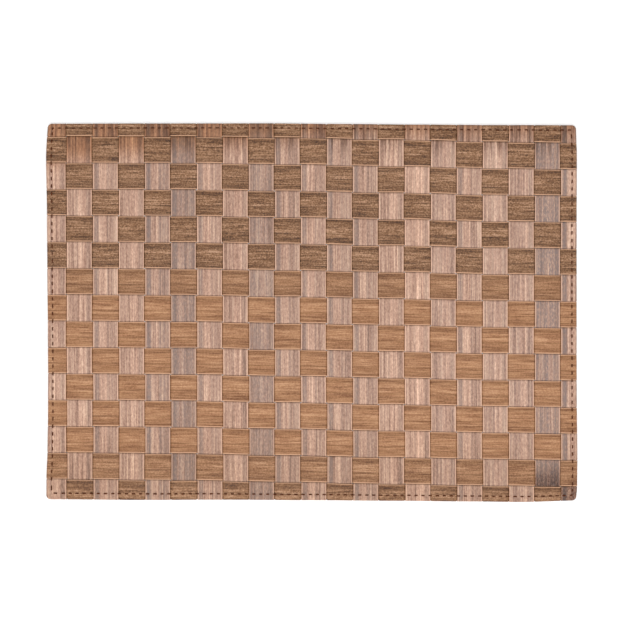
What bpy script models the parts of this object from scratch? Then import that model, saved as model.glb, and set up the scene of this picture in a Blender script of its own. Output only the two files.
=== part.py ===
"""Placemat woven from flat wood-print strips, with a folded hem.

Upright strips (the warp) run along Y and level strips (the weft) run along X. Each is cut flat,
woven over and under the others, and then the whole cloth is folded to the back along its four
sides, so the outermost strips are folded lengthwise and the ends of all others wrap the rim.

Metres, +Z up. The origin is the middle of the mat on the surface that it lies on.
"""

from math import cos, pi, radians, sin

import bmesh
import bpy
from mathutils import Matrix, Vector

# Driving dimensions
MAT_LENGTH = 0.4200  # along X, rim to rim
MAT_WIDTH = 0.2985  # along Y, rim to rim
WARP_COUNT = 21
WEFT_COUNT = 15
WARP_PITCH = 0.02057  # from one upright strip to the next
WEFT_PITCH = 0.02090  # from one level strip to the next
SHOWN_LEFT = 0.0161  # of the left border strip, from the rim to the middle of its gap
SHOWN_TOP = 0.0129  # of the top border strip, likewise
WARP_WIDTH = 0.0193
WEFT_WIDTH = 0.0199
STRIP_THICKNESS = 0.00045
LAYER_GAP = 0.00035  # clearance between any two layers
SLOPE_INSET = 0.00005  # from a strip's edge to where the strip that crosses it starts to dive
CORNER_RADIUS = 0.0040  # of the rim, seen from above
HEM_DEPTH = 0.0080  # from the rim to the cut edge on the back
CORNER_TURN_IN = 0.0018  # how far the snipped corner reaches past the fold on the back
FOLD_STEPS = 4
CORNER_STEPS = 4

# The hem lifts the cloth off the table, and it settles again over this stretch in from the rim.
LIFT_END = 0.0140
SAG_END = 0.0560

# How far the four sides of the rim, and the rows and columns inside it, stray from straight
# lines, in millimetres. Positive is to the right or up. Each pair is one place, given as a share
# of the line from its left or its lower end, and the drift there. A row between the lower and
# the upper ones drifts by a mean of the two, weighted by its place, and so does a column.
DRIFT = {
    "left": ((0.0, -0.45), (0.05, -0.35), (0.12, 0.45), (0.22, 0.9), (0.32, 0.95), (0.45, 0.75),
             (0.6, 0.35), (0.75, 0.05), (0.9, -0.65), (1.0, 0.7)),
    "right": ((0.0, -0.25), (0.05, 0.45), (0.12, 0.65), (0.3, 0.15), (0.5, 0.05), (0.75, 0.05),
              (0.92, 0.25), (1.0, -0.45)),
    "lower": ((0.0, 0.9), (0.2, 0.4), (0.33, 0.6), (0.5, 0.2), (0.66, -0.3), (0.8, -0.8),
              (0.89, -1.25), (1.0, -0.1)),
    "upper": ((0.0, 0.5), (0.2, 0.7), (0.42, 0.8), (0.55, 0.3), (0.7, -0.2), (0.85, -0.6),
              (1.0, -0.7)),
    "lower rows": ((0.0, 3.7), (0.25, 2.75), (0.45, 1.1), (0.65, -0.4), (0.85, -1.8), (1.0, -2.4)),
    "upper rows": ((0.0, 2.7), (0.25, 2.6), (0.45, 1.7), (0.65, 0.2), (0.85, -1.65), (1.0, -2.4)),
    "left columns": ((0.0, 0.45), (0.5, -0.1), (1.0, -0.25)),
    "right columns": ((0.0, -0.1), (0.5, -0.2), (1.0, -0.3)),
}
RIM_BAND = 0.0025  # in from the rim, where only its own drift counts
WEAVE_BAND = 0.0125  # in from the rim, past which only that of the rows and columns does
MILLIMETRE = 0.001

# Sizes that follow from these
CLOTH = 2 * STRIP_THICKNESS + LAYER_GAP  # two strips where they cross
WEAVE_RISE = (STRIP_THICKNESS + LAYER_GAP) / 2  # of a strip's middle above or below the cloth's
FOLD_RADIUS = (CLOTH + LAYER_GAP) / 2  # of the cloth's middle round the rim
RIM_REACH = FOLD_RADIUS + CLOTH / 2  # from where the fold starts to the rim
FOLD_X = MAT_LENGTH / 2 - RIM_REACH
FOLD_Y = MAT_WIDTH / 2 - RIM_REACH
FOLD_CORNER = CORNER_RADIUS - RIM_REACH
CORE_X = FOLD_X - FOLD_CORNER  # centres of the corners' arcs
CORE_Y = FOLD_Y - FOLD_CORNER
FOLD_LENGTH = pi * FOLD_RADIUS
TURN_IN = HEM_DEPTH - RIM_REACH
BACK_TRIM_Y = MAT_WIDTH / 2 - HEM_DEPTH - 2 * LAYER_GAP  # side hems stop short of the end hems

WARP_GAPS = [-MAT_LENGTH / 2 + SHOWN_LEFT + k * WARP_PITCH for k in range(WARP_COUNT - 1)]
WEFT_GAPS = [MAT_WIDTH / 2 - SHOWN_TOP - k * WEFT_PITCH for k in range(WEFT_COUNT - 1)]
WARP_GAP_WIDTH = WARP_PITCH - WARP_WIDTH
WEFT_GAP_WIDTH = WEFT_PITCH - WEFT_WIDTH

# Colours, as linear red, green and blue
WARP_COLOUR = (0.49, 0.32, 0.24)
WEFT_COLOUR = (0.36, 0.20, 0.11)
STRIP_ROUGHNESS = 0.5


def smooth_step(share):
    """0 to 1 with level ends."""
    share = min(max(share, 0.0), 1.0)
    return share * share * (3 - 2 * share)


def drift(line, share):
    """How far that line strays at a share of its length, in metres."""
    rows = DRIFT[line]
    share = min(max(share, 0.0), 1.0)
    for (start, low), (end, high) in zip(rows, rows[1:]):
        if share <= end:
            mixed = low + (high - low) * smooth_step((share - start) / (end - start))
            return mixed * MILLIMETRE
    return rows[-1][1] * MILLIMETRE


def lift(x, y):
    """How far the doubled hem holds the cloth off the table: full at the rim, 0 further in."""
    settled = 1.0
    for half, place in ((MAT_LENGTH / 2, x), (MAT_WIDTH / 2, y)):
        inside = half - abs(place)
        settled *= smooth_step((inside - LIFT_END) / (SAG_END - LIFT_END))
    return 2 * FOLD_RADIUS * (1 - settled)


def folded(x, y, height):
    """Where a point of the flat cloth lies once its edges are turned to the back.

    height is measured off the middle of the cloth's thickness, towards its face."""
    core = Vector((min(max(x, -CORE_X), CORE_X), min(max(y, -CORE_Y), CORE_Y)))
    out = Vector((x, y)) - core
    past = out.length - FOLD_CORNER
    if past <= 0:
        return Vector((x, y, CLOTH / 2 + height + lift(x, y)))
    out.normalize()
    radius = FOLD_RADIUS + height
    if past < FOLD_LENGTH:
        angle = past / FOLD_RADIUS
        place = core + out * (FOLD_CORNER + radius * sin(angle))
        return Vector((*place, RIM_REACH + radius * cos(angle)))
    place = core + out * (FOLD_CORNER - (past - FOLD_LENGTH))
    return Vector((*place, RIM_REACH - radius))


def inner_share(half, place):
    """0 at the rim, 1 where the place is well inside it."""
    inside = half - abs(place)
    return smooth_step((inside - RIM_BAND) / (WEAVE_BAND - RIM_BAND))


def laid(x, y, height):
    """The folded point, moved by the drift of the rim and of the weave inside it."""
    point = folded(x, y, height)
    across = point.x / MAT_LENGTH + 0.5
    up = point.y / MAT_WIDTH + 0.5
    rim_x = drift("left" if point.x < 0 else "right", up)
    rim_y = drift("lower" if point.y < 0 else "upper", across)
    inner_x = drift("left columns", up) * (1 - across) + drift("right columns", up) * across
    inner_y = drift("lower rows", across) * (1 - up) + drift("upper rows", across) * up
    shift_x = rim_x + (inner_x - rim_x) * inner_share(MAT_LENGTH / 2, point.x)
    shift_y = rim_y + (inner_y - rim_y) * inner_share(MAT_WIDTH / 2, point.y)
    return point + Vector((shift_x, shift_y, 0))


def warp_side(column, y):
    """1 where that upright strip passes over the level ones, -1 where it passes under."""
    row = sum(gap > y for gap in WEFT_GAPS)
    return 1 if (column + row) % 2 == 0 else -1


def weft_side(row, x):
    """1 where that level strip passes over the upright ones, -1 where it passes under."""
    column = sum(gap < x for gap in WARP_GAPS)
    return -1 if (column + row) % 2 == 0 else 1


def fold_lines(start, turn_ins):
    """Lines across a folded edge: its start, the steps round the fold, and those on the back."""
    steps = [start + FOLD_LENGTH * k / FOLD_STEPS for k in range(FOLD_STEPS + 1)]
    return steps + [steps[-1] + depth for depth in turn_ins]


def dive_lines(gaps, gap_width):
    """The two lines in each gap between which a crossing strip changes sides."""
    half_run = gap_width / 2 - SLOPE_INSET
    return [gap + step for gap in gaps for step in (-half_run, half_run)]


def both_ways(lines):
    return [-line for line in lines] + list(lines)


def add_grid(sheet, x_lines, y_lines):
    """A flat grid with its lines at those places."""
    x_lines = sorted(x_lines)
    y_lines = sorted(y_lines)
    made = bmesh.ops.create_grid(
        sheet, x_segments=len(x_lines) - 1, y_segments=len(y_lines) - 1, size=1
    )
    for vert in made["verts"]:
        column = round((vert.co.x + 1) / 2 * (len(x_lines) - 1))
        row = round((vert.co.y + 1) / 2 * (len(y_lines) - 1))
        vert.co = (x_lines[column], y_lines[row], 0)


def finish_strip(sheet, name, side_at, material, collection):
    """Thickens a flat cut piece, weaves and folds it, and puts it in the scene."""
    bmesh.ops.remove_doubles(sheet, verts=sheet.verts, dist=LAYER_GAP / 100)
    bmesh.ops.recalc_face_normals(sheet, faces=sheet.faces)
    extruded = bmesh.ops.extrude_face_region(sheet, geom=sheet.faces[:])
    upper = [item for item in extruded["geom"] if isinstance(item, bmesh.types.BMVert)]
    bmesh.ops.translate(sheet, verts=upper, vec=(0, 0, STRIP_THICKNESS))
    for vert in sheet.verts:
        x, y, level = vert.co
        weave = side_at(x, y) * WEAVE_RISE
        vert.co = laid(x, y, weave + level - STRIP_THICKNESS / 2)
    bmesh.ops.recalc_face_normals(sheet, faces=sheet.faces)
    mesh = bpy.data.meshes.new(name)
    sheet.to_mesh(mesh)
    sheet.free()
    mesh.materials.append(material)
    collection.objects.link(bpy.data.objects.new(name, mesh))


def inner_warp(column, material, collection):
    """An upright strip between the borders. Both its ends wrap the rim."""
    left = WARP_GAPS[column - 1] + WARP_GAP_WIDTH / 2
    sheet = bmesh.new()
    y_lines = dive_lines(WEFT_GAPS, WEFT_GAP_WIDTH) + both_ways(fold_lines(FOLD_Y, [TURN_IN]))
    add_grid(sheet, [left, left + WARP_WIDTH], y_lines)
    finish_strip(
        sheet, f"warp_{column + 1:02d}", lambda x, y: warp_side(column, y), material, collection
    )


def inner_weft(row, material, collection):
    """A level strip between the borders. Both its ends wrap the rim."""
    top = WEFT_GAPS[row - 1] - WEFT_GAP_WIDTH / 2
    sheet = bmesh.new()
    x_lines = dive_lines(WARP_GAPS, WARP_GAP_WIDTH) + both_ways(fold_lines(FOLD_X, [TURN_IN]))
    add_grid(sheet, x_lines, [top - WEFT_WIDTH, top])
    finish_strip(
        sheet, f"weft_{row + 1:02d}", lambda x, y: weft_side(row, x), material, collection
    )


def border_weft(row, material, collection):
    """The top or bottom strip, folded lengthwise. Its ends stop inside the border warps' folds."""
    outward = 1 if row == 0 else -1
    inner = WEFT_GAPS[row - 1 if row else 0] + outward * WEFT_GAP_WIDTH / 2
    shown = abs(FOLD_Y - abs(inner))
    turn_in = WEFT_WIDTH - shown - FOLD_LENGTH
    sheet = bmesh.new()
    x_lines = dive_lines(WARP_GAPS, WARP_GAP_WIDTH) + both_ways([CORE_X - LAYER_GAP])
    y_lines = [inner] + [outward * line for line in fold_lines(FOLD_Y, [turn_in])]
    add_grid(sheet, x_lines, y_lines)
    finish_strip(
        sheet, f"weft_{row + 1:02d}", lambda x, y: weft_side(row, x), material, collection
    )


def add_corner(sheet, ray, outward, upward):
    """A quarter turn of the ray of points about a corner's centre, as a fan of faces."""
    centre = Vector((outward * CORE_X, upward * CORE_Y, 0))
    verts = [sheet.verts.new(centre + Vector((outward * reach, 0, 0))) for reach in ray]
    edges = [sheet.edges.new(pair) for pair in zip(verts, verts[1:])]
    bmesh.ops.spin(
        sheet,
        geom=verts + edges,
        cent=centre,
        axis=(0, 0, 1),
        angle=outward * upward * radians(90),
        steps=CORNER_STEPS,
    )


def border_warp(column, material, collection):
    """The left or right strip, folded lengthwise, with both ends and both corners turned in."""
    outward = -1 if column == 0 else 1
    inner = WARP_GAPS[column - 1 if column else 0] + outward * WARP_GAP_WIDTH / 2
    shown = abs(FOLD_X - abs(inner))
    turn_in = WARP_WIDTH - shown - FOLD_LENGTH
    sheet = bmesh.new()

    side_lines = fold_lines(FOLD_X, [CORNER_TURN_IN, turn_in])
    x_lines = [inner] + [outward * line for line in [CORE_X] + side_lines]
    y_lines = dive_lines(WEFT_GAPS, WEFT_GAP_WIDTH) + both_ways([CORE_Y, BACK_TRIM_Y])
    add_grid(sheet, x_lines, y_lines)
    trimmed = [
        face
        for face in sheet.faces
        if abs(face.calc_center_median().x) > side_lines[-2]
        and abs(face.calc_center_median().y) > BACK_TRIM_Y
    ]
    bmesh.ops.delete(sheet, geom=trimmed, context="FACES")

    end_lines = fold_lines(FOLD_Y, [CORNER_TURN_IN, TURN_IN])
    ray = [0] + [line - CORE_Y for line in end_lines[:-1]]
    for upward in (-1, 1):
        end_ys = [upward * line for line in [CORE_Y] + end_lines]
        add_grid(sheet, [inner, outward * CORE_X], end_ys)
        add_corner(sheet, ray, outward, upward)
    finish_strip(
        sheet, f"warp_{column + 1:02d}", lambda x, y: warp_side(column, y), material, collection
    )


def film(name, colour):
    """A printed film's plain material."""
    material = bpy.data.materials.new(name)
    material.use_nodes = True
    shader = material.node_tree.nodes["Principled BSDF"]
    shader.inputs["Base Color"].default_value = (*colour, 1)
    shader.inputs["Roughness"].default_value = STRIP_ROUGHNESS
    shader.inputs["Metallic"].default_value = 0
    return material


def main():
    for obj in list(bpy.data.objects):
        bpy.data.objects.remove(obj)
    placemat = bpy.data.collections.new("placemat")
    bpy.context.scene.collection.children.link(placemat)

    warp_film = film("warp_film", WARP_COLOUR)
    border_warp(0, warp_film, placemat)
    for column in range(1, WARP_COUNT - 1):
        inner_warp(column, warp_film, placemat)
    border_warp(WARP_COUNT - 1, warp_film, placemat)

    weft_film = film("weft_film", WEFT_COLOUR)
    border_weft(0, weft_film, placemat)
    for row in range(1, WEFT_COUNT - 1):
        inner_weft(row, weft_film, placemat)
    border_weft(WEFT_COUNT - 1, weft_film, placemat)


main()
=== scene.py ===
"""Looks of a placemat woven from flat wood-print strips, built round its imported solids.

Each strip is a finer copy of its plain solid. It is cut flat with soft edges, woven, and folded to
the back at the rim by the same rules, and its wood grain runs along it. A thread sews the hem.

Metres, +Z up, in the frame of the solids.
"""

from functools import lru_cache
from math import cos, pi, radians, sin, sqrt
from typing import NamedTuple

import bmesh
import bpy
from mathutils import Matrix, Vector, noise

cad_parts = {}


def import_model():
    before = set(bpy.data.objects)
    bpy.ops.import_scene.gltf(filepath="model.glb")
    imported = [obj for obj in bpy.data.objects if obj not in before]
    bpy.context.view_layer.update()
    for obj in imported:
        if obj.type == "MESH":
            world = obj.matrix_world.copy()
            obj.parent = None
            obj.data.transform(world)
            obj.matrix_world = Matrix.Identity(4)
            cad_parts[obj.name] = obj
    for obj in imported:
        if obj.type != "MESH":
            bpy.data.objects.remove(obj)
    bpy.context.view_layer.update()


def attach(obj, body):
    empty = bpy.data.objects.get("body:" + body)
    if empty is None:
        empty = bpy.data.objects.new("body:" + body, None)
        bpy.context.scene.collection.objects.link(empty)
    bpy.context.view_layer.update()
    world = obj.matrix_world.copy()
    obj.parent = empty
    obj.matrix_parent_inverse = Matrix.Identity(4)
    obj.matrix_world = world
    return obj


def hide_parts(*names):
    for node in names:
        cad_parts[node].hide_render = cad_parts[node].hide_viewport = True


MILLIMETRE = 0.001

# Driving dimensions of the cloth, the same as those of the solids
MAT_LENGTH = 0.4200  # along X, rim to rim
MAT_WIDTH = 0.2985  # along Y, rim to rim
WARP_COUNT = 21
WEFT_COUNT = 15
WARP_PITCH = 0.02057
WEFT_PITCH = 0.02090
SHOWN_LEFT = 0.0161
SHOWN_TOP = 0.0129
WARP_WIDTH = 0.0193
WEFT_WIDTH = 0.0199
STRIP_THICKNESS = 0.00045
LAYER_GAP = 0.00035
CORNER_RADIUS = 0.0040
HEM_DEPTH = 0.0080
CORNER_TURN_IN = 0.0018
LIFT_END = 0.0140
SAG_END = 0.0560
# How far the four sides of the rim, and the rows and columns inside it, stray from straight
# lines, in millimetres. Positive is to the right or up. Each pair is one place, given as a share
# of the line from its left or its lower end, and the drift there. A row between the lower and
# the upper ones drifts by a mean of the two, weighted by its place, and so does a column.
DRIFT = {
    "left": ((0.0, -0.45), (0.05, -0.35), (0.12, 0.45), (0.22, 0.9), (0.32, 0.95), (0.45, 0.75),
             (0.6, 0.35), (0.75, 0.05), (0.9, -0.65), (1.0, 0.7)),
    "right": ((0.0, -0.25), (0.05, 0.45), (0.12, 0.65), (0.3, 0.15), (0.5, 0.05), (0.75, 0.05),
              (0.92, 0.25), (1.0, -0.45)),
    "lower": ((0.0, 0.9), (0.2, 0.4), (0.33, 0.6), (0.5, 0.2), (0.66, -0.3), (0.8, -0.8),
              (0.89, -1.25), (1.0, -0.1)),
    "upper": ((0.0, 0.5), (0.2, 0.7), (0.42, 0.8), (0.55, 0.3), (0.7, -0.2), (0.85, -0.6),
              (1.0, -0.7)),
    "lower rows": ((0.0, 3.7), (0.25, 2.75), (0.45, 1.1), (0.65, -0.4), (0.85, -1.8), (1.0, -2.4)),
    "upper rows": ((0.0, 2.7), (0.25, 2.6), (0.45, 1.7), (0.65, 0.2), (0.85, -1.65), (1.0, -2.4)),
    "left columns": ((0.0, 0.45), (0.5, -0.1), (1.0, -0.25)),
    "right columns": ((0.0, -0.1), (0.5, -0.2), (1.0, -0.3)),
}
RIM_BAND = 0.0025
WEAVE_BAND = 0.0125

# Finer shape of the strips
EDGE_SPREAD = 0.00018  # of a cut edge past that of the solid
EDGE_BEAD = 0.00010  # height of the welt along both edges
BEAD_INSET = 0.00050
BEAD_SPREAD = 0.00030
CROWN = 0.00022  # of a strip between the places where it dives
CROWN_RUN = 0.0045
RIPPLE = 0.00005
RIPPLE_SCALE = 0.014
SWAY = 0.00022  # of a strip to either side of its line
SWAY_SCALE = 0.055
DIVE_MARGIN = 0.00025  # of a dive past the gap that it crosses
LEVEL_RUN = 0.003  # in from the folds, over which the face becomes level ground
SEAM_LEFT = -MAT_LENGTH / 2 + 0.0046  # where the sewing runs along the four sides
SEAM_RIGHT = MAT_LENGTH / 2 - 0.0043
SEAM_UPPER = MAT_WIDTH / 2 - 0.0043
SEAM_LOWER = -MAT_WIDTH / 2 + 0.0050
SEAM_PINCH = 0.16  # share by which the sewing draws the hem's layers together
SEAM_SPREAD = 0.0011

# Where the fine grids have their lines
EDGE_LINES = (0.0, 0.00007, 0.00022, 0.0005, 0.0009, 0.0014, 0.0026, 0.0058)  # in from an edge
FOLDED_EDGE_LINES = 6  # how many of those an edge has that is folded to the back
GAP_LINES = (0.35, 0.7, 1.0)  # shares of a dive's half length
CELL_LINES = (0.0013, 0.0034)  # past a dive's end
SEAM_LINES = (0.0024, 0.0032, 0.0038, 0.0043, 0.0047, 0.0052, 0.0060)  # in from the rim
FOLD_STEPS = 10
CORNER_STEPS = 10
LEAST_LINE_STEP = 0.00004

# Thread
STITCH_SHARE = 0.46  # of a stitch's pitch that shows on the face
PLY_RADIUS = 0.00031
PLY_OFFSET = 0.00024
TWIST_PITCH = 0.0015
THREAD_STEP = 0.0003

# Sizes that follow from these
CLOTH = 2 * STRIP_THICKNESS + LAYER_GAP
WEAVE_RISE = (STRIP_THICKNESS + LAYER_GAP) / 2
FOLD_RADIUS = (CLOTH + LAYER_GAP) / 2
RIM_REACH = FOLD_RADIUS + CLOTH / 2
HEM_THICKNESS = 2 * RIM_REACH
FOLD_X = MAT_LENGTH / 2 - RIM_REACH
FOLD_Y = MAT_WIDTH / 2 - RIM_REACH
FOLD_CORNER = CORNER_RADIUS - RIM_REACH
CORE_X = FOLD_X - FOLD_CORNER
CORE_Y = FOLD_Y - FOLD_CORNER
FOLD_LENGTH = pi * FOLD_RADIUS
TURN_IN = HEM_DEPTH - RIM_REACH
BACK_TRIM_Y = MAT_WIDTH / 2 - HEM_DEPTH - 2 * LAYER_GAP
WARP_GAPS = [-MAT_LENGTH / 2 + SHOWN_LEFT + k * WARP_PITCH for k in range(WARP_COUNT - 1)]
WEFT_GAPS = [MAT_WIDTH / 2 - SHOWN_TOP - k * WEFT_PITCH for k in range(WEFT_COUNT - 1)]
WARP_GAP_WIDTH = WARP_PITCH - WARP_WIDTH
WEFT_GAP_WIDTH = WEFT_PITCH - WEFT_WIDTH

# Prints of the upright strips. All are cut from one printed sheet, some of them turned end for end.
# The values are how grey the broad band near one edge is, and the narrow streaks across the rest,
# how much grey dust and paleness there is all over, and how far painted shade darkens the lower
# end.
WARP_PRINTS = {
    "plain": {"turned": -1, "band": 0.10, "streak": 0.00, "dust": 0.0, "pale": 0.2, "dive_shade": 0.0},
    "pale": {"turned": -1, "band": 0.10, "streak": 0.00, "dust": 0.0, "pale": 0.9, "dive_shade": 0.0},
    "banded": {"turned": 1, "band": 0.50, "streak": 0.20, "dust": 0.0, "pale": 0.1, "dive_shade": 0.0},
    "dim": {"turned": 1, "band": 0.60, "streak": 0.25, "dust": 0.0, "pale": -0.4, "dive_shade": 0.0},
    "streaked": {"turned": 1, "band": 0.85, "streak": 0.60, "dust": 0.1, "pale": -0.3, "dive_shade": 0.0},
    "dusky": {"turned": 1, "band": 0.90, "streak": 0.60, "dust": 0.7, "pale": -1.0, "dive_shade": 0.0},
    "drab": {"turned": -1, "band": 0.30, "streak": 0.60, "dust": 0.6, "pale": -0.8, "dive_shade": 0.0},
    "misty": {"turned": -1, "band": 0.30, "streak": 0.30, "dust": 0.3, "pale": 0.5, "dive_shade": 0.0},
    "dusty": {"turned": -1, "band": 0.30, "streak": 0.30, "dust": 1.0, "pale": -0.2, "dive_shade": 0.9},
    "last": {"turned": 1, "band": 0.90, "streak": 0.20, "dust": 0.1, "pale": 0.0, "dive_shade": 0.8},
}
WARP_ORDER = (
    "plain plain banded plain streaked dusky banded plain drab dim banded "
    "dim dim plain pale misty banded misty misty dusty last"
).split()
# The sheet's stripes: their places as shares of the strip's width, how light each is against the
# plain ground, and how grey
STRIPES = (
    {"place": 0.04, "tone": 0.98, "band": 0.3, "streak": 0.0},
    {"place": 0.10, "tone": 0.84, "band": 1.0, "streak": 0.0},
    {"place": 0.20, "tone": 0.86, "band": 1.0, "streak": 0.0},
    {"place": 0.25, "tone": 1.06, "band": 0.2, "streak": 0.0},
    {"place": 0.31, "tone": 1.15, "band": 0.0, "streak": 0.0},
    {"place": 0.40, "tone": 1.04, "band": 0.0, "streak": 0.1},
    {"place": 0.48, "tone": 1.19, "band": 0.0, "streak": 0.0},
    {"place": 0.53, "tone": 1.12, "band": 0.0, "streak": 0.2},
    {"place": 0.59, "tone": 0.88, "band": 0.0, "streak": 1.0},
    {"place": 0.63, "tone": 0.92, "band": 0.0, "streak": 0.8},
    {"place": 0.68, "tone": 1.08, "band": 0.0, "streak": 0.4},
    {"place": 0.76, "tone": 0.88, "band": 0.0, "streak": 0.9},
    {"place": 0.84, "tone": 1.03, "band": 0.0, "streak": 0.4},
    {"place": 0.91, "tone": 0.90, "band": 0.0, "streak": 0.6},
    {"place": 0.97, "tone": 1.00, "band": 0.0, "streak": 0.1},
)
# Prints of the level strips: how coarse the bands are, and how much paleness there is.
WEFT_PRINTS = {
    "coarse": {"coarse": 1.0, "pale": 0.0},
    "amber": {"coarse": 0.3, "pale": -0.4},
    "fine": {"coarse": 0.0, "pale": 0.0},
    "low": {"coarse": 0.7, "pale": -0.4},
}
PALE_GAIN = 0.13  # by which a paleness of 1 lightens a strip
WEFT_ORDER = ["coarse"] * 6 + ["amber"] + ["fine"] * 6 + ["amber", "low"]


class Strip(NamedTuple):
    """A strip: whether it runs upright, its number among its like, and its middle's place."""

    upright: bool
    index: int
    middle: float

    @property
    def name(self):
        return f"{'warp' if self.upright else 'weft'}_{self.index + 1:02d}"

    @property
    def half_width(self):
        return (WARP_WIDTH if self.upright else WEFT_WIDTH) / 2 + EDGE_SPREAD

    @property
    def seed(self):
        return self.index + (1 if self.upright else 51)


def smooth_step(share):
    """0 to 1 with level ends."""
    share = min(max(share, 0.0), 1.0)
    return share * share * (3 - 2 * share)


def bump(offset, spread):
    """1 at offset 0, falling away smoothly to 0 at twice the spread."""
    return smooth_step(1 - abs(offset) / (2 * spread))


@lru_cache(maxsize=None)
def drift(line, share):
    """How far that line strays at a share of its length, in metres."""
    rows = DRIFT[line]
    share = min(max(share, 0.0), 1.0)
    for (start, low), (end, high) in zip(rows, rows[1:]):
        if share <= end:
            mixed = low + (high - low) * smooth_step((share - start) / (end - start))
            return mixed * MILLIMETRE
    return rows[-1][1] * MILLIMETRE


def lift(x, y):
    """How far the doubled hem holds the cloth off the table: full at the rim, 0 further in."""
    settled = 1.0
    for half, place in ((MAT_LENGTH / 2, x), (MAT_WIDTH / 2, y)):
        inside = half - abs(place)
        settled *= smooth_step((inside - LIFT_END) / (SAG_END - LIFT_END))
    return 2 * FOLD_RADIUS * (1 - settled)


def folded(x, y, height):
    """Where a point of the flat cloth lies once its edges are turned to the back."""
    core = Vector((min(max(x, -CORE_X), CORE_X), min(max(y, -CORE_Y), CORE_Y)))
    out = Vector((x, y)) - core
    past = out.length - FOLD_CORNER
    if past <= 0:
        return Vector((x, y, CLOTH / 2 + height + lift(x, y)))
    out.normalize()
    radius = FOLD_RADIUS + height
    if past < FOLD_LENGTH:
        angle = past / FOLD_RADIUS
        place = core + out * (FOLD_CORNER + radius * sin(angle))
        return Vector((*place, RIM_REACH + radius * cos(angle)))
    place = core + out * (FOLD_CORNER - (past - FOLD_LENGTH))
    return Vector((*place, RIM_REACH - radius))


def seam_distance(x, y):
    """From the sewing to a place on the mat, seen from above. Positive is inside it."""
    return min(x - SEAM_LEFT, SEAM_RIGHT - x, y - SEAM_LOWER, SEAM_UPPER - y)


def inner_share(half, place):
    """0 at the rim, 1 where the place is well inside it."""
    inside = half - abs(place)
    return smooth_step((inside - RIM_BAND) / (WEAVE_BAND - RIM_BAND))


def drifted(point):
    """The point moved by the drift of the rim and of the weave inside it."""
    across = point.x / MAT_LENGTH + 0.5
    up = point.y / MAT_WIDTH + 0.5
    rim_x = drift("left" if point.x < 0 else "right", up)
    rim_y = drift("lower" if point.y < 0 else "upper", across)
    inner_x = drift("left columns", up) * (1 - across) + drift("right columns", up) * across
    inner_y = drift("lower rows", across) * (1 - up) + drift("upper rows", across) * up
    shift_x = rim_x + (inner_x - rim_x) * inner_share(MAT_LENGTH / 2, point.x)
    shift_y = rim_y + (inner_y - rim_y) * inner_share(MAT_WIDTH / 2, point.y)
    return point + Vector((shift_x, shift_y, 0))


def laid(x, y, height):
    """The folded point, drawn in by the sewing and moved by the drift."""
    point = folded(x, y, height)
    pinch = SEAM_PINCH * bump(seam_distance(point.x, point.y), SEAM_SPREAD)
    point.z += (RIM_REACH - point.z) * pinch
    return drifted(point)


def side(strip, crossing):
    """1 where the strip passes over that crossing one, -1 where it passes under."""
    even = (strip.index + crossing) % 2 == 0
    return 1 if even == strip.upright else -1


@lru_cache(maxsize=None)
def weave(strip, along):
    """(how far over the strip is, from -1 to 1, and how far it is from where it next dives)."""
    gaps = WEFT_GAPS if strip.upright else WARP_GAPS
    width = WEFT_GAP_WIDTH if strip.upright else WARP_GAP_WIDTH
    reach = width / 2 + DIVE_MARGIN
    nearest = min(range(len(gaps)), key=lambda k: abs(gaps[k] - along))
    offset = along - gaps[nearest]
    turned = 2 * smooth_step(0.5 + offset / (2 * reach)) - 1
    over = side(strip, nearest) * (turned if strip.upright else -turned)
    return over, abs(offset) - reach


@lru_cache(maxsize=None)
def sway(strip, along):
    """How far the strip strays from its line there."""
    return SWAY * noise.noise((along / SWAY_SCALE, strip.seed * 7.3, 0.0))


def half_thickness(edge):
    """Half the strip's thickness at that distance from its edge, which is round."""
    radius = STRIP_THICKNESS / 2
    if edge < radius:
        return sqrt(max(radius**2 - (radius - edge) ** 2, 0.0))
    return radius


def level_ground(x, y):
    """1 on the flat of the mat, 0 on the folds and on the back."""
    inside = min(FOLD_X - abs(x), FOLD_Y - abs(y))
    return smooth_step(inside / LEVEL_RUN)


def shaped(strip, x, y, upper):
    """Where a point of the flat strip's face (upper) or back ends up."""
    across, along = (x, y) if strip.upright else (y, x)
    across -= strip.middle
    edge = max(strip.half_width - abs(across), 0.0)
    over, room = weave(strip, along)
    height = over * WEAVE_RISE
    free = max(over, 0.0) * level_ground(x, y)
    if free:
        rise = smooth_step(room / CROWN_RUN) * (1 - (across / strip.half_width) ** 2)
        wave = noise.noise((x / RIPPLE_SCALE, y / RIPPLE_SCALE, strip.seed * 3.1))
        height += free * (CROWN * rise + RIPPLE * wave)
    thick = half_thickness(edge)
    if upper:
        thick += EDGE_BEAD * bump(edge - BEAD_INSET, BEAD_SPREAD) * max(over, 0.0)
    height += thick if upper else -thick
    astray = sway(strip, along)
    if strip.upright:
        return laid(x + astray, y, height)
    return laid(x, y + astray, height)


def thinned(lines):
    """The lines in order, without those that nearly repeat the one before."""
    kept = []
    for line in sorted(lines):
        if not kept or line - kept[-1] > LEAST_LINE_STEP:
            kept.append(line)
    return kept


def gap_lines(gaps, width):
    """Lines along a strip round each place where it dives, and in the middle between these."""
    reach = width / 2 + DIVE_MARGIN
    offsets = [reach * share for share in GAP_LINES] + [reach + run for run in CELL_LINES]
    lines = list(gaps)
    for offset in offsets:
        lines += [gap - offset for gap in gaps] + [gap + offset for gap in gaps]
    lines += [(one + other) / 2 for one, other in zip(gaps, gaps[1:])]
    return lines


def rim_offsets(turn_in):
    """Distances past the core line: to the fold, round it, and along the back."""
    front = [CORNER_RADIUS - inset for inset in SEAM_LINES if inset < CORNER_RADIUS]
    fold = [FOLD_CORNER + FOLD_LENGTH * k / FOLD_STEPS for k in range(FOLD_STEPS + 1)]
    depths = [inset - RIM_REACH for inset in SEAM_LINES] + [CORNER_TURN_IN]
    back = [fold[-1] + depth for depth in depths if depth < turn_in] + [fold[-1] + turn_in]
    return thinned(front + fold + back)


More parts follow.
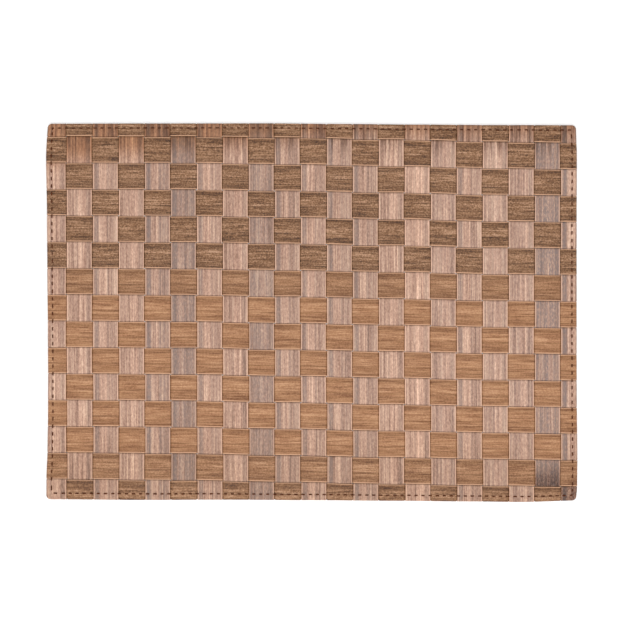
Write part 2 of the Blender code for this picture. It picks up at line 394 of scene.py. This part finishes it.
def both_ways(lines):
    """The lines and their mirror images."""
    return [-line for line in lines] + list(lines)


def edge_lines(edge, inward):
    """Grid lines beside a cut edge; inward is 1 or -1."""
    return [edge + inward * inset for inset in EDGE_LINES]


def strip_lines(strip):
    """Lines across a whole strip, close together at its edges."""
    low = strip.middle - strip.half_width
    high = strip.middle + strip.half_width
    return thinned(edge_lines(low, 1) + edge_lines(high, -1) + [strip.middle])


def seam_lines(half):
    """Lines near the sewing that lie inside the core line."""
    return both_ways([half - inset for inset in SEAM_LINES if inset > CORNER_RADIUS])


def add_grid(sheet, x_lines, y_lines):
    """A flat grid with its lines at those places."""
    x_lines = sorted(x_lines)
    y_lines = sorted(y_lines)
    made = bmesh.ops.create_grid(
        sheet, x_segments=len(x_lines) - 1, y_segments=len(y_lines) - 1, size=1
    )
    for vert in made["verts"]:
        column = round((vert.co.x + 1) / 2 * (len(x_lines) - 1))
        row = round((vert.co.y + 1) / 2 * (len(y_lines) - 1))
        vert.co = (x_lines[column], y_lines[row], 0)


def add_corner(sheet, ray, outward, upward):
    """A quarter turn of the ray of points about a corner's centre, as a fan of faces."""
    centre = Vector((outward * CORE_X, upward * CORE_Y, 0))
    verts = [sheet.verts.new(centre + Vector((outward * reach, 0, 0))) for reach in ray]
    edges = [sheet.edges.new(pair) for pair in zip(verts, verts[1:])]
    bmesh.ops.spin(
        sheet,
        geom=verts + edges,
        cent=centre,
        axis=(0, 0, 1),
        angle=outward * upward * radians(90),
        steps=CORNER_STEPS,
    )


def warp_strips():
    """The upright strips, from left to right."""
    reach = (WARP_GAP_WIDTH + WARP_WIDTH) / 2
    middles = [WARP_GAPS[0] - reach] + [gap + reach for gap in WARP_GAPS]
    return [Strip(True, column, middle) for column, middle in enumerate(middles)]


def weft_strips():
    """The level strips, from top to bottom."""
    reach = (WEFT_GAP_WIDTH + WEFT_WIDTH) / 2
    middles = [WEFT_GAPS[0] + reach] + [gap - reach for gap in WEFT_GAPS]
    return [Strip(False, row, middle) for row, middle in enumerate(middles)]


def inner_warp(strip):
    """The flat cut of an upright strip between the borders."""
    sheet = bmesh.new()
    ends = [CORE_Y] + [CORE_Y + offset for offset in rim_offsets(TURN_IN)]
    y_lines = gap_lines(WEFT_GAPS, WEFT_GAP_WIDTH) + both_ways(ends) + seam_lines(MAT_WIDTH / 2)
    add_grid(sheet, strip_lines(strip), thinned(y_lines))
    return sheet


def inner_weft(strip):
    """The flat cut of a level strip between the borders."""
    sheet = bmesh.new()
    ends = [CORE_X] + [CORE_X + offset for offset in rim_offsets(TURN_IN)]
    x_lines = gap_lines(WARP_GAPS, WARP_GAP_WIDTH) + both_ways(ends) + seam_lines(MAT_LENGTH / 2)
    add_grid(sheet, thinned(x_lines), strip_lines(strip))
    return sheet


def border_weft(strip):
    """The flat cut of the top or bottom strip."""
    outward = 1 if strip.middle > 0 else -1
    inner = abs(strip.middle) - strip.half_width
    outer = abs(strip.middle) + strip.half_width
    turn_in = outer - FOLD_Y - FOLD_LENGTH
    rim = [CORE_Y + offset for offset in rim_offsets(turn_in)]
    seam = [line for line in seam_lines(MAT_WIDTH / 2) if line > 0]
    level = edge_lines(inner, 1) + seam + [CORE_Y] + rim + edge_lines(outer, -1)[:FOLDED_EDGE_LINES]
    x_lines = gap_lines(WARP_GAPS, WARP_GAP_WIDTH) + both_ways([CORE_X - LAYER_GAP])
    x_lines += seam_lines(MAT_LENGTH / 2)
    sheet = bmesh.new()
    add_grid(sheet, thinned(x_lines), thinned([outward * line for line in level]))
    return sheet


def border_warp(strip):
    """The flat cut of the left or right strip, with its corners snipped for the fold."""
    outward = 1 if strip.middle > 0 else -1
    inner = abs(strip.middle) - strip.half_width
    outer = abs(strip.middle) + strip.half_width
    turn_in = outer - FOLD_X - FOLD_LENGTH
    corner_offsets = rim_offsets(CORNER_TURN_IN)
    side_offsets = rim_offsets(turn_in)
    trim_from = CORE_X + corner_offsets[-1]

    seam = [line for line in seam_lines(MAT_LENGTH / 2) if line > 0]
    inside = thinned(edge_lines(inner, 1) + seam + [CORE_X])
    beyond = [CORE_X + offset for offset in side_offsets]
    edge = edge_lines(outer, -1)[:FOLDED_EDGE_LINES]
    beyond = thinned(beyond + [line for line in edge if line > trim_from])
    y_lines = gap_lines(WEFT_GAPS, WEFT_GAP_WIDTH) + both_ways([CORE_Y, BACK_TRIM_Y])
    y_lines += seam_lines(MAT_WIDTH / 2)
    sheet = bmesh.new()
    add_grid(sheet, [outward * line for line in inside + beyond], thinned(y_lines))
    trimmed = [
        face
        for face in sheet.faces
        if abs(face.calc_center_median().x) > trim_from
        and abs(face.calc_center_median().y) > BACK_TRIM_Y
    ]
    bmesh.ops.delete(sheet, geom=trimmed, context="FACES")

    for upward in (-1, 1):
        end_lines = [CORE_Y] + [CORE_Y + offset for offset in rim_offsets(TURN_IN)]
        add_grid(sheet, [outward * line for line in inside], [upward * line for line in end_lines])
        add_corner(sheet, [0] + corner_offsets, outward, upward)
    return sheet


def made_strip(strip, sheet, material):
    """Thickens the flat cut, weaves and folds it, and puts the piece in the scene."""
    bmesh.ops.remove_doubles(sheet, verts=sheet.verts, dist=LEAST_LINE_STEP / 4)
    bmesh.ops.recalc_face_normals(sheet, faces=sheet.faces)
    extruded = bmesh.ops.extrude_face_region(sheet, geom=sheet.faces[:])
    upper = {item for item in extruded["geom"] if isinstance(item, bmesh.types.BMVert)}
    grain_place = sheet.verts.layers.float_vector.new("grain_place")
    for vert in sheet.verts:
        x, y, _ = vert.co
        across, along = (x, y) if strip.upright else (y, x)
        place = ((across - strip.middle) / MILLIMETRE, along / MILLIMETRE, strip.seed)
        vert[grain_place] = place
        vert.co = shaped(strip, x, y, vert in upper)
    bmesh.ops.remove_doubles(sheet, verts=sheet.verts, dist=LEAST_LINE_STEP / 40)
    bmesh.ops.recalc_face_normals(sheet, faces=sheet.faces)
    for face in sheet.faces:
        face.smooth = True

    name = "strip_" + strip.name
    mesh = bpy.data.meshes.new(name)
    sheet.to_mesh(mesh)
    sheet.free()
    mesh.materials.append(material)
    piece = bpy.data.objects.new(name, mesh)
    bpy.context.scene.collection.objects.link(piece)
    return piece


def print_values(piece, values):
    """Writes the values of the strip's print, and of its painted shade, to its mesh."""
    for name, value in values.items():
        layer = piece.data.attributes.new("print_" + name, "FLOAT", "POINT")
        layer.data.foreach_set("value", [value] * len(piece.data.vertices))


def dress(piece, strip):
    """Ties the piece to the root body and hides its solid."""
    flat_length = MAT_WIDTH if strip.upright else MAT_LENGTH
    flat_length += 2 * (HEM_DEPTH + FOLD_LENGTH - 2 * RIM_REACH)
    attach(piece, "root")
    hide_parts(strip.name)


class SeamCorner(NamedTuple):
    """A corner of the sewing, and the stitches sewn when it is reached."""

    x: float
    y: float
    stitches: float

    @property
    def place(self):
        return Vector((self.x, self.y))


SEAM = (
    SeamCorner(SEAM_LEFT, SEAM_UPPER, 0.45),
    SeamCorner(SEAM_RIGHT, SEAM_UPPER, 72.8),
    SeamCorner(SEAM_RIGHT, SEAM_LOWER, 122.45),
    SeamCorner(SEAM_LEFT, SEAM_LOWER, 196.0),
    SeamCorner(SEAM_LEFT, SEAM_UPPER, 244.55),
)


def stitch_height(stitches):
    """How high the thread's middle lies: on the face, through the hem, and on the back."""
    turn = (stitches + 0.09 * noise.noise((stitches * 0.61, 5.0, 0.0))) % 1.0
    top = HEM_THICKNESS * (1 - SEAM_PINCH / 2) + PLY_RADIUS * 0.6
    bottom = PLY_RADIUS + PLY_OFFSET
    on_face = smooth_step((STITCH_SHARE / 2 + 0.02 - abs(turn - 0.5)) / 0.06)
    return bottom + (top - bottom) * on_face


def ply_points(ply):
    """Places along one ply of the thread, run round clockwise from the upper left."""
    points = []
    walked = 0.0
    for start, end in zip(SEAM, SEAM[1:]):
        length = (end.place - start.place).length
        forward = (end.place - start.place) / length
        steps = round(length / THREAD_STEP)
        for k in range(steps):
            share = k / steps
            place = start.place.lerp(end.place, share)
            angle = 2 * pi * ((walked + length * share) / TWIST_PITCH + ply / 2)
            place += Vector((-forward.y, forward.x)) * (PLY_OFFSET * cos(angle))
            stitches = start.stitches + (end.stitches - start.stitches) * share
            height = stitch_height(stitches) + PLY_OFFSET * sin(angle)
            points.append(drifted(Vector((place.x, place.y, height))))
        walked += length
    return points


def thread(material):
    """Two plies twisted about each other, in and out of the hem all the way round."""
    curve = bpy.data.curves.new("hem_thread", "CURVE")
    curve.dimensions = "3D"
    curve.bevel_depth = PLY_RADIUS
    curve.bevel_resolution = 1
    for ply in (0, 1):
        points = ply_points(ply)
        spline = curve.splines.new("POLY")
        spline.points.add(len(points) - 1)
        spline.use_cyclic_u = True
        spline.use_smooth = True
        for point, place in zip(spline.points, points):
            point.co = (*place, 1)
    curve.materials.append(material)
    piece = bpy.data.objects.new("hem_thread", curve)
    bpy.context.scene.collection.objects.link(piece)
    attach(piece, "root")


def linear(red, green, blue):
    """A colour given as screen values from 0 to 255, as linear light."""
    return tuple(
        value / 255 / 12.92 if value <= 10 else ((value / 255 + 0.055) / 1.055) ** 2.4
        for value in (red, green, blue)
    )


class Shader:
    """A material's nodes, built by short calls. Each call returns the socket that it makes."""

    def __init__(self, name):
        self.material = bpy.data.materials.new(name)
        self.material.use_nodes = True
        self.nodes = self.material.node_tree.nodes
        self.links = self.material.node_tree.links
        self.surface = self.nodes["Principled BSDF"]

    def put(self, value, socket):
        """Links a socket to another, or sets it to a number or a colour."""
        if isinstance(value, bpy.types.NodeSocket):
            self.links.new(value, socket)
        elif isinstance(value, tuple) and len(value) == 3 and socket.type == "RGBA":
            socket.default_value = (*value, 1)
        else:
            socket.default_value = value

    def attribute(self, name, output="Fac"):
        node = self.nodes.new("ShaderNodeAttribute")
        node.attribute_name = name
        return node.outputs[output]

    def parts(self, vector):
        node = self.nodes.new("ShaderNodeSeparateXYZ")
        self.put(vector, node.inputs[0])
        return node.outputs[0], node.outputs[1], node.outputs[2]

    def vector(self, x, y, z):
        node = self.nodes.new("ShaderNodeCombineXYZ")
        for value, socket in zip((x, y, z), node.inputs):
            self.put(value, socket)
        return node.outputs[0]

    def maths(self, operation, *values, clamp=False):
        node = self.nodes.new("ShaderNodeMath")
        node.operation = operation
        node.use_clamp = clamp
        for value, socket in zip(values, node.inputs):
            self.put(value, socket)
        return node.outputs[0]

    def spread(self, value, start, end, low=0.0, high=1.0):
        """The value's share of the way from start to end, held to low and high, with soft ends."""
        node = self.nodes.new("ShaderNodeMapRange")
        node.interpolation_type = "SMOOTHSTEP"
        for given, socket in zip((value, start, end, low, high), node.inputs):
            self.put(given, socket)
        return node.outputs[0]

    def noise(self, vector, detail=2.0, roughness=0.5):
        node = self.nodes.new("ShaderNodeTexNoise")
        self.put(vector, node.inputs["Vector"])
        node.inputs["Scale"].default_value = 1.0
        node.inputs["Detail"].default_value = detail
        node.inputs["Roughness"].default_value = roughness
        return node.outputs["Fac"]

    def ramp(self, value, *stops):
        """A blend through (place, colour) stops."""
        node = self.nodes.new("ShaderNodeValToRGB")
        self.put(value, node.inputs[0])
        elements = node.color_ramp.elements
        while len(elements) < len(stops):
            elements.new(1.0)
        for element, (place, colour) in zip(elements, stops):
            element.position = place
            element.color = (*colour, 1) if isinstance(colour, tuple) else (colour,) * 3 + (1,)
        return node.outputs[0]

    def mix(self, share, one, other, blend="MIX"):
        node = self.nodes.new("ShaderNodeMix")
        node.data_type = "RGBA"
        node.blend_type = blend
        self.put(share, node.inputs["Factor"])
        self.put(one, node.inputs[6])
        self.put(other, node.inputs[7])
        return node.outputs[2]

    def bumped(self, height, distance, strength=1.0):
        node = self.nodes.new("ShaderNodeBump")
        node.inputs["Strength"].default_value = strength
        node.inputs["Distance"].default_value = distance
        self.put(height, node.inputs["Height"])
        self.links.new(node.outputs[0], self.surface.inputs["Normal"])


class Grain(NamedTuple):
    """Where a printed point lies on its strip, in millimetres, and the strip's number."""

    shader: Shader
    across: object
    along: object
    number: object

    def noise(self, across_scale, along_scale, start=0.0, detail=2.0, roughness=0.5):
        """Noise drawn out along the strip, different on every strip."""
        shader = self.shader
        vector = shader.vector(
            shader.maths("MULTIPLY", self.across, across_scale),
            shader.maths("MULTIPLY", self.along, along_scale),
            shader.maths("MULTIPLY_ADD", self.number, 4.7, start),
        )
        return shader.noise(vector, detail, roughness)


def grain_of(shader):
    """The grain of the strip that the shader is on."""
    across, along, number = shader.parts(shader.attribute("grain_place", "Vector"))
    return Grain(shader, across, along, number)


def edge_band(shader, grain, half_width, start, end, softness):
    """1 between those distances in from either edge, in millimetres."""
    edge = shader.maths("SUBTRACT", half_width, shader.maths("ABSOLUTE", grain.across))
    rise = shader.spread(edge, start - softness, start + softness)
    fall = shader.spread(edge, end - softness, end + softness)
    return shader.maths("SUBTRACT", rise, fall, clamp=True)


def print_value(shader, name):
    """A value of the strip's print, which includes its painted shade."""
    return shader.attribute("print_" + name)


def gained(shader, colour):
    """The colour made lighter or darker by the strip's paleness."""
    gain = shader.maths("MULTIPLY_ADD", print_value(shader, "pale"), PALE_GAIN, 1.0)
    return shader.mix(1.0, colour, shader.vector(gain, gain, gain), "MULTIPLY")


def finish_film(shader, grain, colour, relief):
    """The sheen and the fine relief that all strips share."""
    shader.put(colour, shader.surface.inputs["Base Color"])
    roughness = shader.spread(grain.noise(0.5, 0.03, 70.0), 0.3, 0.7, 0.44, 0.58)
    shader.put(roughness, shader.surface.inputs["Roughness"])
    shader.surface.inputs["Specular IOR Level"].default_value = 0.35
    shader.bumped(relief, 0.00008)
    return shader.material


def brown(level):
    """A factor that darkens wood to a deeper brown, not to grey."""
    return (level**0.8, level, level**1.35)


def tinted(shader, share, colour, factors):
    """The colour multiplied by the factors, as far as the share goes."""
    return shader.mix(share, colour, shader.mix(1.0, colour, factors, "MULTIPLY"))


def charted(shader, place, column):
    """A column of the sheet's stripes, at that share of the strip's width."""
    return shader.ramp(place, *((stripe["place"], stripe[column]) for stripe in STRIPES))


def warp_print_and_sheen():
    """Brown wood grain made pinkish beige by a painted sheen, in long fine stripes, with bands and
    dust of grey.
    """
    shader = Shader("warp_print_and_sheen")
    grain = grain_of(shader)
    half = WARP_WIDTH / 2 / MILLIMETRE + EDGE_SPREAD / MILLIMETRE
    broad = grain.noise(0.17, 0.004, 0.0, detail=1.0)
    middling = grain.noise(0.55, 0.010, 11.0)
    fine = grain.noise(1.3, 0.020, 23.0)
    fleck = grain.noise(0.95, 0.42, 37.0, detail=3.0, roughness=0.7)
    stripes = shader.maths("MULTIPLY_ADD", broad, 0.10, shader.maths("MULTIPLY", middling, 0.20))
    stripes = shader.maths("MULTIPLY_ADD", fine, 0.34, stripes)
    stripes = shader.maths("MULTIPLY_ADD", fleck, 0.36, stripes)
    # The pinkish beige of these stops is brown wood with a painted sheen over it.
    colour = shader.ramp(
        stripes,
        (0.39, linear(126, 94, 78)),
        (0.45, linear(150, 116, 98)),
        (0.50, linear(168, 133, 114)),
        (0.55, linear(183, 149, 128)),
        (0.61, linear(203, 170, 147)),
    )
    wander = shader.maths("MULTIPLY_ADD", grain.noise(0.0, 0.012, 83.0), 0.9, -0.45)
    turned = shader.maths("MULTIPLY", grain.across, print_value(shader, "turned"))
    place = shader.maths("MULTIPLY_ADD", shader.maths("ADD", turned, wander), 0.5 / half, 0.5)
    colour = shader.mix(1.0, colour, charted(shader, place, "tone"), "MULTIPLY")

    speckle = shader.spread(grain.noise(0.9, 0.35, 61.0, detail=3.0), 0.34, 0.60, 0.35, 1.0)
    band_grey = charted(shader, place, "band")
    band_grey = shader.maths("MULTIPLY", band_grey, print_value(shader, "band"))
    streak_grey = charted(shader, place, "streak")
    streak_grey = shader.maths("MULTIPLY", streak_grey, print_value(shader, "streak"))
    dust = shader.spread(grain.noise(0.6, 0.010, 53.0), 0.36, 0.58, 0.3, 1.0)
    dust = shader.maths("MULTIPLY", dust, print_value(shader, "dust"))
    grey = shader.maths("MAXIMUM", shader.maths("MAXIMUM", band_grey, streak_grey), dust)
    grey = shader.maths("MULTIPLY", grey, speckle, clamp=True)
    colour = shader.mix(shader.maths("MULTIPLY", grey, 0.80), colour, linear(112, 98, 96))

    # A pale line along both edges: partly the folded edge's own colour, partly a painted highlight.
    line = edge_band(shader, grain, half, 0.10, 0.80, 0.10)
    colour = shader.mix(shader.maths("MULTIPLY", line, 0.75), colour, linear(205, 165, 142))
    colour = gained(shader, colour)

    # The painted sheen fades toward the upper end, where the hem tilts away, to the orange brown of
    # the bare wood.
    sheen_fade_top_start = shader.maths("MULTIPLY_ADD", grain.number, 2.2, 102.0)
    sheen_fade_top_start = shader.maths("MINIMUM", sheen_fade_top_start, 130.0)
    sheen_fade_top = shader.spread(shader.maths("SUBTRACT", grain.along, sheen_fade_top_start), 0.0, 22.0)
    colour = tinted(shader, sheen_fade_top, colour, (0.72, 0.55, 0.38))
    # Darker patches near the upper end.
    upper_patches = shader.spread(grain.noise(0.5, 0.02, 97.0), 0.44, 0.60)
    upper_patches = shader.maths("MULTIPLY", upper_patches, shader.spread(grain.along, 120.0, 136.0))
    colour = tinted(shader, upper_patches, colour, (0.56, 0.50, 0.46))
    # The painted sheen also fades a little toward the lower end.
    low = shader.spread(grain.along, -60.0, -140.0)
    colour = tinted(shader, low, colour, (0.88, 0.85, 0.81))
    # Painted shade darkens the lower end of some strips, where they dive under.
    dive_shade = shader.spread(grain.along, -115.0, -133.0)
    dive_shade = shader.maths("MULTIPLY", dive_shade, print_value(shader, "dive_shade"))
    dive_shade = shader.maths("MULTIPLY", dive_shade, shader.spread(fleck, 0.35, 0.60, 1.1, 0.7), clamp=True)
    colour = tinted(shader, dive_shade, colour, (0.26, 0.16, 0.12))
    return finish_film(shader, grain, colour, shader.maths("ADD", fine, fleck))


def weft_print():
    """Brown wood grain: dark and speckled on coarse strips, orange and finely lined on others."""
    shader = Shader("weft_print")
    grain = grain_of(shader)
    half = WEFT_WIDTH / 2 / MILLIMETRE + EDGE_SPREAD / MILLIMETRE
    coarse = print_value(shader, "coarse")
    middling = grain.noise(0.5, 0.010, 5.0)
    fine = grain.noise(1.25, 0.06, 17.0)
    speckle = grain.noise(1.05, 0.75, 29.0, detail=3.0, roughness=0.7)
    smooth = shader.maths("MULTIPLY_ADD", middling, 0.20, shader.maths("MULTIPLY", fine, 0.45))
    smooth = shader.maths("MULTIPLY_ADD", speckle, 0.35, smooth)
    rough = shader.maths("MULTIPLY_ADD", middling, 0.12, shader.maths("MULTIPLY", fine, 0.38))
    rough = shader.maths("MULTIPLY_ADD", speckle, 0.50, rough)
    light_colour = shader.ramp(
        smooth,
        (0.38, linear(112, 68, 36)),
        (0.50, linear(152, 107, 72)),
        (0.62, linear(182, 138, 102)),
    )
    dark_colour = shader.ramp(
        rough,
        (0.39, linear(68, 38, 14)),
        (0.50, linear(126, 88, 57)),
        (0.61, linear(174, 136, 107)),
    )
    colour = shader.mix(coarse, light_colour, dark_colour)

    wander = shader.maths("MULTIPLY_ADD", grain.noise(0.0, 0.035, 91.0), 0.8, -0.4)
    from_top = shader.maths("SUBTRACT", half, shader.maths("ADD", grain.across, wander))
    down = shader.maths("DIVIDE", from_top, 2 * half)
    fine_bands = shader.ramp(
        down,
        (0.040, brown(0.74)),
        (0.100, brown(0.70)),
        (0.190, brown(0.78)),
        (0.260, brown(1.03)),
        (0.500, brown(1.05)),
        (0.565, brown(1.00)),
        (0.595, brown(0.70)),
        (0.625, brown(0.78)),
        (0.655, brown(1.02)),
        (0.720, brown(0.90)),
        (0.800, brown(0.81)),
        (0.930, brown(0.77)),
    )
    coarse_bands = shader.ramp(
        down,
        (0.040, brown(0.64)),
        (0.100, brown(0.58)),
        (0.190, brown(0.64)),
        (0.265, brown(1.02)),
        (0.500, brown(1.06)),
        (0.565, brown(1.00)),
        (0.595, brown(0.62)),
        (0.630, brown(0.70)),
        (0.660, brown(0.98)),
        (0.730, brown(0.84)),
        (0.840, brown(0.64)),
        (0.930, brown(0.68)),
    )
    bands = shader.mix(coarse, fine_bands, coarse_bands)
    colour = shader.mix(1.0, colour, bands, "MULTIPLY")
    # A pale line along both edges, partly the folded edge's own colour, partly a painted highlight
    # that is brighter on the lower edge, which faces the front light.
    line = edge_band(shader, grain, half, 0.10, 0.75, 0.10)
    strength = shader.spread(grain.across, -1.0, 1.0, 0.85, 0.55)
    colour = shader.mix(shader.maths("MULTIPLY", line, strength), colour, linear(205, 160, 128))
    colour = gained(shader, colour)
    return finish_film(shader, grain, colour, shader.maths("ADD", fine, speckle))


def thread_fibre():
    """Dark brown sewing thread, slightly uneven in colour."""
    shader = Shader("thread_fibre")
    where = shader.nodes.new("ShaderNodeTexCoord")
    scaled = shader.nodes.new("ShaderNodeVectorMath")
    scaled.operation = "SCALE"
    scaled.inputs["Scale"].default_value = 700.0
    shader.links.new(where.outputs["Object"], scaled.inputs[0])
    uneven = shader.noise(scaled.outputs[0])
    colour = shader.ramp(uneven, (0.3, linear(62, 27, 11)), (0.7, linear(98, 50, 25)))
    shader.put(colour, shader.surface.inputs["Base Color"])
    shader.surface.inputs["Roughness"].default_value = 0.8
    shader.surface.inputs["Specular IOR Level"].default_value = 0.15
    shader.bumped(uneven, 0.00005)
    return shader.material


def floor_paint():
    """Plain white ground."""
    shader = Shader("floor_paint")
    shader.surface.inputs["Base Color"].default_value = (0.97, 0.97, 0.97, 1)
    shader.surface.inputs["Roughness"].default_value = 0.9
    return shader.material


# Stage, light and camera
FLOOR_SIZE = 12.0
FLOOR_DROP = 0.0002
PHOTO_SIZE = 624  # pixels
PIXEL = 0.7914 * MILLIMETRE  # what a pixel of the photo covers on the mat
MAT_CENTRE = (311.7, 312.4)  # pixel of the photo where the mat's middle lies
LENS = 85.0  # millimetres
SENSOR = 36.0


def stage():
    """The ground under the mat."""
    bpy.ops.mesh.primitive_plane_add(size=FLOOR_SIZE, location=(0, 0, -FLOOR_DROP))
    floor = bpy.context.object
    floor.name = "floor"
    floor.data.materials.append(floor_paint())


def softbox(name, place, size, power):
    """A square area light that faces the mat."""
    light = bpy.data.lights.new(name, "AREA")
    light.shape = "SQUARE"
    light.size = size
    light.energy = power
    lamp = bpy.data.objects.new(name, light)
    lamp.location = place
    lamp.rotation_euler = Vector(place).to_track_quat("Z", "Y").to_euler()
    bpy.context.scene.collection.objects.link(lamp)


def light():
    """The studio lights."""
    softbox("overhead", (0.0, 0.0, 1.9), 1.2, 11.0)
    softbox("front", (0.0, -1.5, 1.3), 1.2, 24.0)
    softbox("left", (-1.5, 0.2, 1.3), 1.2, 12.0)
    softbox("right", (1.5, 0.2, 1.3), 1.2, 12.0)
    world = bpy.data.worlds.new("studio")
    world.use_nodes = True
    world.node_tree.nodes["Background"].inputs["Color"].default_value = (1.0, 0.99, 0.98, 1)
    world.node_tree.nodes["Background"].inputs["Strength"].default_value = 0.35
    bpy.context.scene.world = world
    bpy.context.scene.view_settings.view_transform = "Standard"


def camera():
    """Straight above, with the photo's framing."""
    frame_width = PHOTO_SIZE * PIXEL
    height = frame_width * LENS / SENSOR + CLOTH
    across = (PHOTO_SIZE / 2 - MAT_CENTRE[0]) * PIXEL
    up = (MAT_CENTRE[1] - PHOTO_SIZE / 2) * PIXEL
    data = bpy.data.cameras.new("camera")
    data.lens = LENS
    data.sensor_width = SENSOR
    eye = bpy.data.objects.new("camera", data)
    eye.location = (across, up, height)
    bpy.context.scene.collection.objects.link(eye)
    bpy.context.scene.camera = eye


def main():
    """Dress the solids and set up the picture."""
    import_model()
    camera()
    light()
    stage()

    warp_film = warp_print_and_sheen()
    for strip in warp_strips():
        inner = 0 < strip.index < WARP_COUNT - 1
        piece = made_strip(strip, inner_warp(strip) if inner else border_warp(strip), warp_film)
        print_values(piece, WARP_PRINTS[WARP_ORDER[strip.index]])
        dress(piece, strip)

    weft_film = weft_print()
    for strip in weft_strips():
        inner = 0 < strip.index < WEFT_COUNT - 1
        piece = made_strip(strip, inner_weft(strip) if inner else border_weft(strip), weft_film)
        print_values(piece, WEFT_PRINTS[WEFT_ORDER[strip.index]])
        dress(piece, strip)

    thread(thread_fibre())


main()
